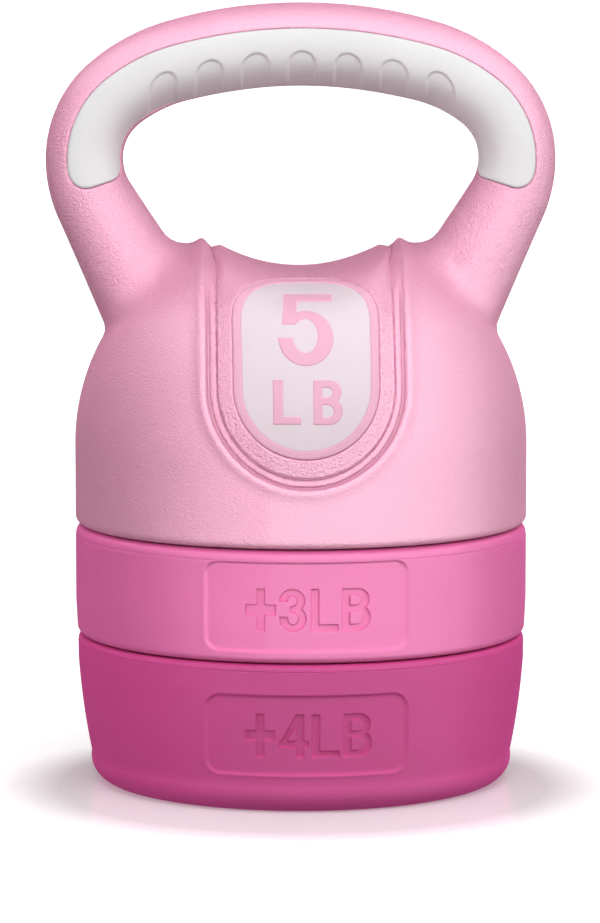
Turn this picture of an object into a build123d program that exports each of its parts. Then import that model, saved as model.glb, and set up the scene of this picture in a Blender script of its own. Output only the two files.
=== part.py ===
"""Stackable adjustable kettlebell: a handled body and two weight plates that screw together.

The frame is +Z up, with the origin at the middle of the base plate's underside. The front,
with its weight markings, faces -Y, and the handle runs along X. All lengths are in mm.
"""

import os
from math import cos, hypot, radians, sin, sqrt, tan

from build123d import *

os.makedirs("parts", exist_ok=True)

# ---- Driving dimensions --------------------------------------------------------------------
PLATE_RADIUS = 80.0
JOINT_GAP = 0.6  # between stacked pieces, taken up by a soft ring
WALL = 3.0  # outer walls of every shell
FOOT_FILLET = 2.6  # round the underside of the middle plate and the body

BASE_HEIGHT = 52.2
BASE_LID_EDGE = 2.2
BASE_TOP_RADIUS = 79.2
BASE_FOOT_RADIUS = 68.5
BASE_STRAIGHT_FROM = 44.0  # height at which the base plate's side turns straight
BASE_KNEE = (74.6, 10.0)  # radius and height where its rounded foot meets the tapered side
MID_HEIGHT = 38.5
MID_LID_EDGE = 3.4
MID_FOOT_RADIUS = 79.4
MID_DRAFT_HEIGHT = 12.0

DOME_WALL_HEIGHT = 31.1  # straight wall under the dome
DOME_RISE = 73.0  # half height of the ellipse above that wall
SADDLE_RADIUS = 62.0  # hand clearance trough across the top of the dome
SADDLE_LOW = 90.9  # lowest line of the trough, above the body's underside

SADDLE_FILLET = 5.0
HORN_FILLET = 4.0

GRIP_RADIUS = 14.4
HANDLE_TOP = 183.2  # above the body's underside
HANDLE_HALF_WIDTH = 90.4
HANDLE_WALL = 4.4
TOP_ARC_RADIUS = 166.0  # over the crown
TOP_ARC_DEG = 15.3
SHOULDER_ARC_RADIUS = 58.0
SHOULDER_ARC_DEG = 23.8
HORN_BEND_RADIUS = 33.0
HORN_LEAN_DEG = 28.4
HORN_LENGTH = 62.0
HORN_FLARE_DEG = 5.6

PAD_DEPTH = 2.0
PAD_UPPER_DEG = 30.0  # from the horizontal, up over the front of the grip
PAD_LOWER_DEG = 78.0  # and down under it
PAD_END_DEG = 16.0  # how far the pads run into the bend towards the horn

THREAD_STARTS = 3
THREAD_LEAD = 15.0
THREAD_RIDGE_DEG = 112.0
THREAD_DEPTH = 2.0
RIDGE_ROOT = 2.8
RIDGE_CREST = 1.6
RIDGE_SINK = 0.5  # how far a ridge is rooted in the wall that carries it
HUB_RADIUS = 34.0
HUB_HEIGHT = 12.0
HUB_WALL = 3.0
HUB_SINK = 1.0  # how far the hub is rooted in its lid
HUB_CHAMFER = 1.0
THREAD_CLEARANCE = 0.4
SOCKET_DEPTH = 13.6
FIRST_RIDGE_MIDDLE = 4.5  # height of the male ridge's lower end above its lid
FEMALE_LAG_DEG = 3.0  # the female ridges start this much later, which leaves play for the turn

RING_INNER = 61.0
RING_OUTER = 69.0
RING_THICKNESS = 1.6
RING_SIDE_CLEARANCE = 0.3
RING_TOP_CLEARANCE = 0.1

SCREW_COUNT = 6
SCREW_CIRCLE = 73.2
SCREW_RADIUS = 1.4
SCREW_HEAD_RADIUS = 2.6
SCREW_HEAD_HEIGHT = 1.4
SCREW_HOLE_CLEARANCE = 0.1
BOSS_RADIUS = 4.4  # each boss is rooted in the wall beside it
SCREW_LENGTH = 10.0
PILOT_CLEARANCE = 0.02

FRONT = (0, -1, 0)
REACH = PLATE_RADIUS + 5  # past every outer surface

# ---- Levels worked out from them -----------------------------------------------------------
MID_BOTTOM = BASE_HEIGHT + JOINT_GAP
MID_TOP = MID_BOTTOM + MID_HEIGHT
BODY_BOTTOM = MID_TOP + JOINT_GAP
DOME_SPRING = BODY_BOTTOM + DOME_WALL_HEIGHT
SADDLE_CENTRE = BODY_BOTTOM + SADDLE_LOW + SADDLE_RADIUS
GRIP_CENTRE = BODY_BOTTOM + HANDLE_TOP - GRIP_RADIUS
SOCKET_RADIUS = HUB_RADIUS + THREAD_DEPTH + THREAD_CLEARANCE
SOCKET_WALL = 2.6
CAP_RADIUS = PLATE_RADIUS - WALL - 0.4
CAP_CLEARANCE = 0.1
CAP_THICKNESS = 3.0
LIP_THICKNESS = 4.0
LIP_INNER = 66.0


def save(part, name):
    """Label a finished piece and write it to its own file."""
    part.label = name
    export_step(part, f"parts/{name}.step")


# ---- Letters and figures, drawn as strokes of one width ------------------------------------
def bar(stroke, *points):
    """A stroke along straight runs."""
    with BuildLine() as path:
        Polyline(*points)
    trace(path.edges(), line_width=stroke)


def arc(stroke, start, through, end):
    """A stroke along one arc."""
    with BuildLine() as path:
        ThreePointArc(start, through, end)
    trace(path.edges(), line_width=stroke)


def bowl(stroke, left, low, right, high):
    """The open bowl of a 3 or a B: a flat, a half round and a flat."""
    turn = (high - low) / 2
    with BuildLine() as path:
        Line((left, high), (right - turn, high))
        ThreePointArc((right - turn, high), (right, low + turn), (right - turn, low))
        Line((right - turn, low), (left, low))
    trace(path.edges(), line_width=stroke)


def glyph(character, width, height, stroke):
    """One plain character, its lower left corner at the sketch's origin."""
    half = stroke / 2
    middle = height / 2
    if character == "+":
        bar(stroke, (0, middle), (width, middle))
        bar(stroke, (width / 2, middle - width / 2), (width / 2, middle + width / 2))
    elif character == "L":
        bar(stroke, (half, height), (half, half), (width, half))
    elif character in "B3":
        if character == "B":
            bar(stroke, (half, 0), (half, height))
        bowl(stroke, 0, middle, width - half, height - half)
        bowl(stroke, 0, half, width - half, middle)
    elif character == "4":
        post = 0.72 * width
        bar(stroke, (post, 0), (post, height))
        bar(stroke, (post, height), (half, 0.3 * height))
        bar(stroke, (0, 0.3 * height), (width, 0.3 * height))
    elif character == "5":
        turn = (width - stroke) / 2
        waist = (half + 0.4, 0.52 * height)
        bar(stroke, (width - 0.6, height - half), (half, height - half))
        bar(stroke, (half + 1.2, height), waist)
        arc(stroke, waist, (width / 2 + 0.6, 0.64 * height - half), (width - half, half + turn))
        arc(stroke, (width - half, half + turn), (width / 2, half), (half, half + turn))


def marking(plane, text, height, stroke, starts, widths):
    """A row of characters on a plane, each with its own left edge and width."""
    with BuildSketch(plane) as letters:
        for character, start, width in zip(text, starts, widths):
            with BuildSketch(mode=Mode.PRIVATE) as letter:
                glyph(character, width, height, stroke)
                with Locations((width / 2, height / 2)):
                    Rectangle(width, height, mode=Mode.INTERSECT)
            with Locations((start, 0)):
                add(letter.sketch)
    return letters.sketch


# ---- Solids of revolution that the shells are cut from -------------------------------------
def base_form(inset):
    """The base plate's outer form, drawn in by inset all round."""
    foot = (BASE_FOOT_RADIUS - inset, 0)
    foot_bulge = (72.9 - inset, 2.8)
    knee = (BASE_KNEE[0] - inset, BASE_KNEE[1])
    side_bulge = (77.5 - inset, 27.0)
    shoulder = (BASE_TOP_RADIUS - inset, BASE_STRAIGHT_FROM)
    top = (BASE_TOP_RADIUS - inset, BASE_HEIGHT)
    with BuildPart() as form:
        with BuildSketch(Plane.XZ):
            with BuildLine():
                Line((0, 0), foot)
                ThreePointArc(foot, foot_bulge, knee)
                ThreePointArc(knee, side_bulge, shoulder)
                Polyline(shoulder, top, (0, BASE_HEIGHT), (0, 0))
            make_face()
        revolve(axis=Axis.Z)
    return form.part


def mid_form(inset):
    """The middle plate's outer form, with a little draft, drawn in by inset."""
    with BuildPart() as form:
        with BuildSketch(Plane.XZ):
            with BuildLine():
                Polyline(
                    (0, MID_BOTTOM),
                    (MID_FOOT_RADIUS - inset, MID_BOTTOM),
                    (PLATE_RADIUS - inset, MID_BOTTOM + MID_DRAFT_HEIGHT),
                    (PLATE_RADIUS - inset, MID_TOP),
                    (0, MID_TOP),
                    close=True,
                )
            make_face()
        revolve(axis=Axis.Z)
    return form.part


def dome_form(inset):
    """The body's dome with its saddle, drawn in by inset, or outwards if inset is negative."""
    with BuildPart() as form:
        with BuildSketch(Plane.XZ):
            with BuildLine():
                Line((0, BODY_BOTTOM), (PLATE_RADIUS - inset, BODY_BOTTOM))
                Line((PLATE_RADIUS - inset, BODY_BOTTOM), (PLATE_RADIUS - inset, DOME_SPRING))
                EllipticalCenterArc((0, DOME_SPRING), PLATE_RADIUS - inset, DOME_RISE - inset, 0, arc_size=90)
                Line((0, DOME_SPRING + DOME_RISE - inset), (0, BODY_BOTTOM))
            make_face()
        revolve(axis=Axis.Z)
        with BuildSketch(Plane.XZ):
            with Locations((0, SADDLE_CENTRE)):
                Circle(SADDLE_RADIUS + inset)
        extrude(amount=PLATE_RADIUS * 2, both=True, mode=Mode.SUBTRACT)
    return form.part


def dome_radius(height):
    """The dome's radius at a height above the straight wall."""
    return PLATE_RADIUS * sqrt(1 - ((height - DOME_SPRING) / DOME_RISE) ** 2)


# ---- Threads -------------------------------------------------------------------------------
def ridges(root_radius, outwards, first_deg, low_middle):
    """The helical ridges of one thread, one to each start, for a hub or for a socket."""
    side = 1 if outwards else -1
    rise = THREAD_LEAD * THREAD_RIDGE_DEG / 360
    with BuildPart() as ridge:
        with BuildLine() as path:
            Helix(pitch=THREAD_LEAD, height=rise, radius=root_radius, center=(0, 0, low_middle))
        with BuildSketch(Plane(origin=(0, 0, low_middle), x_dir=(1, 0, 0), z_dir=(0, -1, 0))):
            with BuildLine():
                Polyline(
                    (root_radius - side * RIDGE_SINK, -RIDGE_ROOT / 2),
                    (root_radius, -RIDGE_ROOT / 2),
                    (root_radius + side * THREAD_DEPTH, -RIDGE_CREST / 2),
                    (root_radius + side * THREAD_DEPTH, RIDGE_CREST / 2),
                    (root_radius, RIDGE_ROOT / 2),
                    (root_radius - side * RIDGE_SINK, RIDGE_ROOT / 2),
                    close=True,
                )
            make_face()
        sweep(path=path.wires()[0], is_frenet=True)
    with BuildPart() as thread:
        with PolarLocations(0, THREAD_STARTS, start_angle=first_deg):
            add(ridge.part)
    return thread.part


def hub(lid_top):
    """The male threaded hub that stands on a lid: a hollow boss, closed on top."""
    with BuildPart() as boss:
        with BuildSketch(Plane.XY.offset(lid_top - HUB_SINK)):
            Circle(HUB_RADIUS)
        extrude(amount=HUB_HEIGHT + HUB_SINK)
        chamfer(boss.faces().sort_by(Axis.Z)[-1].edges(), HUB_CHAMFER)
        add(ridges(HUB_RADIUS, True, 0, lid_top + FIRST_RIDGE_MIDDLE))
    return boss.part


def hub_hollow(lid_top, lid_thickness):
    """The space under a hub, which opens into the plate below it."""
    with BuildPart() as hollow:
        with BuildSketch(Plane.XY.offset(lid_top - lid_thickness)):
            Circle(HUB_RADIUS - HUB_WALL)
        extrude(amount=HUB_HEIGHT + lid_thickness - HUB_WALL)
    return hollow.part


def socket_shell(underside):
    """The outside of a socket: the cup that stands up inside a cap or a plate."""
    with BuildPart() as cup:
        with BuildSketch(Plane.XY.offset(underside)):
            Circle(SOCKET_RADIUS + SOCKET_WALL)
        extrude(amount=SOCKET_DEPTH + SOCKET_WALL)
    return cup.part


def socket_hollow(underside):
    """The space that a hub turns in."""
    with BuildPart() as hollow:
        with BuildSketch(Plane.XY.offset(underside)):
            Circle(SOCKET_RADIUS)
        extrude(amount=SOCKET_DEPTH)
    return hollow.part


def socket_ridges(underside):
    """The female ridges, half a pitch under the male ones, so that they pull the joint shut."""
    pitch = THREAD_LEAD / THREAD_STARTS
    low_middle = underside - JOINT_GAP + FIRST_RIDGE_MIDDLE - pitch / 2
    rise = THREAD_LEAD * FEMALE_LAG_DEG / 360
    return ridges(SOCKET_RADIUS, False, FEMALE_LAG_DEG, low_middle + rise)


def ring_groove(underside):
    """The groove that holds a soft ring in a piece's underside."""
    with BuildPart() as groove:
        with BuildSketch(Plane.XY.offset(underside)):
            Circle(RING_OUTER + RING_SIDE_CLEARANCE)
            Circle(RING_INNER - RING_SIDE_CLEARANCE, mode=Mode.SUBTRACT)
        extrude(amount=RING_THICKNESS - JOINT_GAP + RING_TOP_CLEARANCE)
    return groove.part


def soft_ring(underside):
    """The ring between two stacked pieces."""
    with BuildPart() as ring:
        with BuildSketch(Plane.XY.offset(underside - JOINT_GAP)):
            Circle(RING_OUTER)
            Circle(RING_INNER, mode=Mode.SUBTRACT)
        extrude(amount=RING_THICKNESS)
    return ring.part


# ---- Base plate ----------------------------------------------------------------------------
BASE_RIM = BASE_HEIGHT - BASE_LID_EDGE
LID_SKIRT_DEPTH = 2.0
LID_SKIRT_WALL = 2.4
LID_THICKNESS = 3.0
PANEL_WIDTH = 69.0
PANEL_DEPTH = 0.8
LETTER_DEPTH = 0.6
LETTER_STROKE = 2.7
BASE_PANEL_MIDDLE = 27.6
BASE_PANEL_HEIGHT = 27.8
BASE_PANEL_CORNER = 5.2
BASE_TEXT_LOW = 19.8
BASE_TEXT_HEIGHT = 15.3
BASE_FILL_TOP = 44.0
BASE_LID_FILLET = 2.0
SKIRT_CLEARANCE = 0.05

with BuildPart() as base_cavity:
    add(base_form(WALL))
    with BuildSketch(Plane.XY):
        Circle(PLATE_RADIUS)
    extrude(amount=WALL, mode=Mode.SUBTRACT)

with BuildPart() as base_panel:
    with BuildSketch(Plane.XZ):
        with Locations((0, BASE_PANEL_MIDDLE)):
            RectangleRounded(PANEL_WIDTH, BASE_PANEL_HEIGHT, BASE_PANEL_CORNER)
    extrude(amount=REACH)
    add(base_form(PANEL_DEPTH), mode=Mode.SUBTRACT)

with BuildPart() as base_letters:
    face = Plane(origin=(0, 0, BASE_TEXT_LOW), x_dir=(1, 0, 0), z_dir=(0, -1, 0))
    starts = (-21.3, -9.6, 1.7, 12.6)
    text = marking(face, "+4LB", BASE_TEXT_HEIGHT, LETTER_STROKE, starts, (10.2, 10.2, 9.7, 9.9))
    extrude(text, amount=REACH, dir=FRONT)
    add(base_form(PANEL_DEPTH + LETTER_DEPTH), mode=Mode.SUBTRACT)

with BuildPart() as base_plate_cup:
    add(base_form(0))
    with BuildSketch(Plane.XY.offset(BASE_RIM)):
        Circle(PLATE_RADIUS + 1)
    extrude(amount=BASE_LID_EDGE, mode=Mode.SUBTRACT)
    add(base_cavity.part, mode=Mode.SUBTRACT)
    add(base_panel.part, mode=Mode.SUBTRACT)
    add(base_letters.part, mode=Mode.SUBTRACT)
save(base_plate_cup.part, "base_plate_cup")

with BuildPart() as base_plate_lid:
    with BuildSketch(Plane.XY.offset(BASE_RIM)):
        Circle(BASE_TOP_RADIUS)
    extrude(amount=BASE_LID_EDGE)
    fillet(base_plate_lid.faces().sort_by(Axis.Z)[-1].edges(), BASE_LID_FILLET)
    with BuildSketch(Plane.XY.offset(BASE_RIM - LID_SKIRT_DEPTH)):
        Circle(BASE_TOP_RADIUS - WALL - SKIRT_CLEARANCE)
        Circle(BASE_TOP_RADIUS - WALL - LID_SKIRT_WALL, mode=Mode.SUBTRACT)
    extrude(amount=LID_SKIRT_DEPTH)
    with BuildSketch(Plane.XY.offset(BASE_HEIGHT - LID_THICKNESS)):
        Circle(BASE_TOP_RADIUS - WALL - 1)
    extrude(amount=LID_THICKNESS)
    add(hub(BASE_HEIGHT))
    add(hub_hollow(BASE_HEIGHT, LID_THICKNESS), mode=Mode.SUBTRACT)
save(base_plate_lid.part, "base_plate_lid")

with BuildPart() as base_plate_fill:
    add(base_cavity.part)
    with BuildSketch(Plane.XY.offset(BASE_FILL_TOP)):
        Circle(PLATE_RADIUS)
    extrude(amount=BASE_HEIGHT, mode=Mode.SUBTRACT)
save(base_plate_fill.part, "base_plate_fill")

# ---- Middle plate --------------------------------------------------------------------------
MID_RIM = MID_TOP - MID_LID_EDGE
MID_LID_RADIUS = PLATE_RADIUS - 0.1
MID_LID_FILLET = 3.2
MID_PANEL_MIDDLE = 72.2
MID_PANEL_HEIGHT = 30.4
MID_PANEL_CORNER = 4.6
MID_TEXT_LOW = 63.9
MID_TEXT_HEIGHT = 14.5
MID_FILL_TOP = 33.0  # above the middle plate's underside

with BuildPart() as lower_soft_ring:
    add(soft_ring(MID_BOTTOM))
save(lower_soft_ring.part, "lower_soft_ring")

with BuildPart() as mid_cavity:
    add(mid_form(WALL))
    with BuildSketch(Plane.XY.offset(MID_BOTTOM)):
        Circle(PLATE_RADIUS)
    extrude(amount=WALL, mode=Mode.SUBTRACT)
    add(socket_shell(MID_BOTTOM), mode=Mode.SUBTRACT)

with BuildPart() as mid_panel:
    with BuildSketch(Plane.XZ):
        with Locations((0, MID_PANEL_MIDDLE)):
            RectangleRounded(PANEL_WIDTH, MID_PANEL_HEIGHT, MID_PANEL_CORNER)
    extrude(amount=REACH)
    add(mid_form(PANEL_DEPTH), mode=Mode.SUBTRACT)

with BuildPart() as mid_letters:
    face = Plane(origin=(0, 0, MID_TEXT_LOW), x_dir=(1, 0, 0), z_dir=(0, -1, 0))
    starts = (-21.2, -9.5, 1.3, 12.0)
    text = marking(face, "+3LB", MID_TEXT_HEIGHT, LETTER_STROKE, starts, (10.4, 9.2, 9.5, 9.9))
    extrude(text, amount=REACH, dir=FRONT)
    add(mid_form(PANEL_DEPTH + LETTER_DEPTH), mode=Mode.SUBTRACT)

with BuildPart() as mid_plate_cup:
    add(mid_form(0))
    fillet(mid_plate_cup.faces().sort_by(Axis.Z)[0].edges(), FOOT_FILLET)
    with BuildSketch(Plane.XY.offset(MID_RIM)):
        Circle(PLATE_RADIUS + 1)
    extrude(amount=MID_LID_EDGE, mode=Mode.SUBTRACT)
    add(mid_cavity.part, mode=Mode.SUBTRACT)
    add(socket_hollow(MID_BOTTOM), mode=Mode.SUBTRACT)
    add(socket_ridges(MID_BOTTOM))
    add(ring_groove(MID_BOTTOM), mode=Mode.SUBTRACT)
    add(mid_panel.part, mode=Mode.SUBTRACT)
    add(mid_letters.part, mode=Mode.SUBTRACT)
save(mid_plate_cup.part, "mid_plate_cup")

with BuildPart() as mid_plate_lid:
    with BuildSketch(Plane.XY.offset(MID_RIM)):
        Circle(MID_LID_RADIUS)
    extrude(amount=MID_LID_EDGE)
    fillet(mid_plate_lid.faces().sort_by(Axis.Z)[-1].edges(), MID_LID_FILLET)
    with BuildSketch(Plane.XY.offset(MID_RIM - LID_SKIRT_DEPTH)):
        Circle(PLATE_RADIUS - WALL - SKIRT_CLEARANCE)
        Circle(PLATE_RADIUS - WALL - LID_SKIRT_WALL, mode=Mode.SUBTRACT)
    extrude(amount=LID_SKIRT_DEPTH)
    add(hub(MID_TOP))
    add(hub_hollow(MID_TOP, MID_LID_EDGE), mode=Mode.SUBTRACT)
save(mid_plate_lid.part, "mid_plate_lid")

with BuildPart() as mid_plate_fill:
    add(mid_cavity.part)
    with BuildSketch(Plane.XY.offset(MID_BOTTOM + MID_FILL_TOP)):
        Circle(PLATE_RADIUS)
    extrude(amount=MID_HEIGHT, mode=Mode.SUBTRACT)
save(mid_plate_fill.part, "mid_plate_fill")

# ---- Handled body --------------------------------------------------------------------------
with BuildPart() as upper_soft_ring:
    add(soft_ring(BODY_BOTTOM))
save(upper_soft_ring.part, "upper_soft_ring")

# The handle's centre line, from the crown down the right side: a flat arc over the top, two
# tighter ones round the shoulder to the widest point, and a bend in towards the horn.
TOP_SINE = sin(radians(TOP_ARC_DEG))
SHOULDER_SINE = sin(radians(TOP_ARC_DEG + SHOULDER_ARC_DEG))
SHOULDER_END = TOP_ARC_RADIUS * TOP_SINE + SHOULDER_ARC_RADIUS * (SHOULDER_SINE - TOP_SINE)
SIDE_ARC_RADIUS = (HANDLE_HALF_WIDTH - GRIP_RADIUS - SHOULDER_END) / (1 - SHOULDER_SINE)
SIDE_ARC_DEG = 90 - TOP_ARC_DEG - SHOULDER_ARC_DEG


def handle_line(end_bend_deg):
    """The right half of the handle's centre line, as far as some way round the horn's bend."""
    with BuildLine(Plane.XZ) as line:
        crown = JernArc((0, GRIP_CENTRE), (1, 0), TOP_ARC_RADIUS, -TOP_ARC_DEG)
        shoulder = JernArc(crown @ 1, crown % 1, SHOULDER_ARC_RADIUS, -SHOULDER_ARC_DEG)
        side = JernArc(shoulder @ 1, shoulder % 1, SIDE_ARC_RADIUS, -SIDE_ARC_DEG)
        JernArc(side @ 1, side % 1, HORN_BEND_RADIUS, -end_bend_deg)
    return line


def tube(radius):
    """Both halves of the grip as a plain round bar."""
    with BuildPart() as grip:
        with BuildSketch(Plane.YZ):
            with Locations((0, GRIP_CENTRE)):
                Circle(radius)
        sweep(path=handle_line(HORN_LEAN_DEG).wires()[0])
        mirror(about=Plane.YZ)
    return grip.part


def horns(shrink):
    """The two flared legs between the grip and the dome, each a cone on the grip's end."""
    end = handle_line(HORN_LEAN_DEG).wires()[0] @ 1
    lean = radians(HORN_LEAN_DEG)
    axis = Vector(-sin(lean), 0, -cos(lean))
    flare = HORN_LENGTH * tan(radians(HORN_FLARE_DEG))
    with BuildPart() as legs:
        with BuildSketch(Plane(origin=end, z_dir=axis)):
            Circle(GRIP_RADIUS - shrink)
        with BuildSketch(Plane(origin=end + axis * HORN_LENGTH, z_dir=axis)):
            Circle(GRIP_RADIUS + flare - shrink)
        loft()
        mirror(about=Plane.YZ)
    return legs.part


def pad():
    """The front grip pad's band round the bar, PAD_DEPTH thick."""
    low = radians(PAD_LOWER_DEG)
    high = radians(PAD_UPPER_DEG)
    half = (high - low) / 2
    inner = GRIP_RADIUS - PAD_DEPTH

    def at(radius, angle):
        return (-radius * cos(angle), GRIP_CENTRE + radius * sin(angle))

    with BuildPart() as band:
        with BuildSketch(Plane.YZ):
            with BuildLine():
                ThreePointArc(at(GRIP_RADIUS, -low), at(GRIP_RADIUS, half), at(GRIP_RADIUS, high))
                Line(at(GRIP_RADIUS, high), at(inner, high))
                ThreePointArc(at(inner, high), at(inner, half), at(inner, -low))
                Line(at(inner, -low), at(GRIP_RADIUS, -low))
            make_face()
        sweep(path=handle_line(PAD_END_DEG).wires()[0])
        mirror(about=Plane.YZ)
    return band.part


pad_band = pad()

# The badge on each face of the dome, and the U-shaped groove round it.
BADGE_HALF_WIDTH = 25.8
BADGE_CENTRE = BODY_BOTTOM + 55.2  # of its round lower end
BADGE_TOP = BODY_BOTTOM + 89.3
BADGE_TOP_CORNER = 16.0
BADGE_RIM = 3.8
BADGE_TOP_RIM = 1.6
BADGE_DEPTH = 1.6
BADGE_GLOSS = 0.2  # rim's face, below the dome
BADGE_FACE = 0.5  # pale plate's face, below the dome
DIGIT_PROUD = 0.2  # digits' face, below the dome
GROOVE_INNER = 30.9
GROOVE_OUTER = 34.2
BEAD_OUTER = 36.4
GROOVE_CENTRE = BODY_BOTTOM + 54.5
GROOVE_DEPTH = 2.0
BEAD_HEIGHT = 0.7


def u_shape(half_width, centre, top):
    """A U on the XZ plane: a half round below, straight sides up to top."""
    with BuildSketch(Plane.XZ) as outline:
        with Locations((0, centre)):
            Circle(half_width)
        with Locations((0, (centre + top) / 2)):
            Rectangle(2 * half_width, top - centre)
    return outline.sketch


def badge_shape(half_width, top, corner):
    """The badge's outline: a U with a rounded top."""
    with BuildSketch(Plane.XZ) as outline:
        add(u_shape(half_width, BADGE_CENTRE, top))
        fillet(outline.vertices().sort_by(Axis.Y)[-2:], corner)
    return outline.sketch


badge_outline = badge_shape(BADGE_HALF_WIDTH, BADGE_TOP, BADGE_TOP_CORNER)
plate_outline = badge_shape(
    BADGE_HALF_WIDTH - BADGE_RIM, BADGE_TOP - BADGE_TOP_RIM, BADGE_TOP_CORNER - BADGE_TOP_RIM
)


def dome_layer(outline, under, over, both=False):
    """The layer of the dome between two insets, inside an outline seen from the front."""
    with BuildPart() as layer:
        extrude(outline, amount=REACH, dir=FRONT, both=both)
        add(dome_form(over), mode=Mode.INTERSECT)
        add(dome_form(under), mode=Mode.SUBTRACT)
    return layer.part


def u_band(inner, outer):
    """The band between two U outlines, as high as the saddle's trough."""
    with BuildSketch(Plane.XZ) as band:
        add(u_shape(outer, GROOVE_CENTRE, SADDLE_CENTRE))
        add(u_shape(inner, GROOVE_CENTRE, SADDLE_CENTRE), mode=Mode.SUBTRACT)
    return band.sketch


groove_band = dome_layer(u_band(GROOVE_INNER, GROOVE_OUTER), GROOVE_DEPTH, -1.0, both=True)
bead_band = dome_layer(u_band(GROOVE_OUTER, BEAD_OUTER), WALL, -BEAD_HEIGHT, both=True)

badge_pocket = dome_layer(badge_outline, BADGE_DEPTH, -1.0)
badge_plate = dome_layer(plate_outline, BADGE_DEPTH, BADGE_FACE)

with BuildPart() as badge_rim:
    add(dome_layer(badge_outline, BADGE_DEPTH, BADGE_GLOSS))
    add(dome_layer(plate_outline, BADGE_DEPTH, BADGE_GLOSS - 1), mode=Mode.SUBTRACT)


def leaning_marking(text, low, high, stroke, starts, widths):
    """Characters between two heights, on a plane that leans back as the dome does there."""
    near = dome_radius(low)
    setback = near - dome_radius(high)
    face = Plane(origin=(0, -near, low), x_dir=(1, 0, 0), z_dir=(0, low - high, setback))
    return marking(face, text, hypot(setback, high - low), stroke, starts, widths)


with BuildPart() as badge_digits:
    figure = leaning_marking("5", BODY_BOTTOM + 62.2, BODY_BOTTOM + 85.1, 4.5, (-9.4,), (18.8,))
    extrude(figure, amount=15, both=True)
    unit = leaning_marking("LB", BODY_BOTTOM + 42.4, BODY_BOTTOM + 57.5, 3.4, (-11.8, 2.0), (9.6, 10.3))
    extrude(unit, amount=10, both=True)
    add(dome_form(DIGIT_PROUD), mode=Mode.INTERSECT)
    add(dome_form(BADGE_FACE), mode=Mode.SUBTRACT)

# What is inside the shell: the dome's hollow and the handle's bore, which open into each other.
CAVITY_FLOOR = BODY_BOTTOM + CAP_THICKNESS + LIP_THICKNESS
BODY_FILL_LOW = 129.3

with BuildPart() as body_cavity:
    add(dome_form(WALL))
    with BuildSketch(Plane.XY.offset(BODY_BOTTOM)):
        Circle(PLATE_RADIUS)
    extrude(amount=CAVITY_FLOOR - BODY_BOTTOM, mode=Mode.SUBTRACT)
    add(horns(HANDLE_WALL))
    add(tube(GRIP_RADIUS - HANDLE_WALL))


def saddle_rim(shape):
    """The edge between the dome and the trough across it."""
    top = BODY_BOTTOM + SADDLE_LOW - 1
    return [edge for edge in shape.edges() if edge.bounding_box().min.Z > top and edge.length > SADDLE_RADIUS]


def horn_roots(shape):
    """The edges where the horns meet the dome."""
    return [
        edge
        for edge in shape.edges()
        if abs(edge.center().X) > GROOVE_OUTER
        and edge.bounding_box().min.Z > DOME_SPRING
        and edge.bounding_box().max.Z < SADDLE_CENTRE - SADDLE_RADIUS + 5
        and edge.length > GRIP_RADIUS
    ]


with BuildPart() as body_shell:
    add(dome_form(0))
    fillet(body_shell.faces().sort_by(Axis.Z)[0].edges(), FOOT_FILLET)
    fillet(saddle_rim(body_shell.part), SADDLE_FILLET)
    add(horns(0))
    add(tube(GRIP_RADIUS))
    fillet(horn_roots(body_shell.part), HORN_FILLET)
    add(groove_band, mode=Mode.SUBTRACT)
    add(bead_band)
    add(body_cavity.part, mode=Mode.SUBTRACT)
    with BuildSketch(Plane.XY.offset(BODY_BOTTOM)):
        Circle(CAP_RADIUS + CAP_CLEARANCE)
    extrude(amount=CAP_THICKNESS, mode=Mode.SUBTRACT)
    with BuildSketch(Plane.XY.offset(BODY_BOTTOM)):
        Circle(LIP_INNER)
    extrude(amount=CAP_THICKNESS + LIP_THICKNESS, mode=Mode.SUBTRACT)
    with BuildSketch(Plane.XY.offset(BODY_BOTTOM + CAP_THICKNESS)):
        with PolarLocations(SCREW_CIRCLE, SCREW_COUNT):
            Circle(BOSS_RADIUS)
    extrude(amount=SCREW_LENGTH)
    with BuildSketch(Plane.XY.offset(BODY_BOTTOM + CAP_THICKNESS)):
        with PolarLocations(SCREW_CIRCLE, SCREW_COUNT):
            Circle(SCREW_RADIUS + PILOT_CLEARANCE)
    extrude(amount=SCREW_LENGTH - CAP_THICKNESS + PILOT_CLEARANCE, mode=Mode.SUBTRACT)
    for turn in (0, 180):
        add(pad_band, rotation=(0, 0, turn), mode=Mode.SUBTRACT)
        add(badge_pocket, rotation=(0, 0, turn), mode=Mode.SUBTRACT)
save(body_shell.part, "body_shell")

# The pads and badges are alike on the front and the rear, half a turn apart.
for name, turn in (("front", 0), ("rear", 180)):
    for piece, solid in (
        ("grip_pad", pad_band),
        ("badge_rim", badge_rim.part),
        ("badge_plate", badge_plate),
        ("badge_digits", badge_digits.part),
    ):
        with BuildPart() as placed:
            add(solid, rotation=(0, 0, turn))
        save(placed.part, f"{name}_{piece}")

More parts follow.
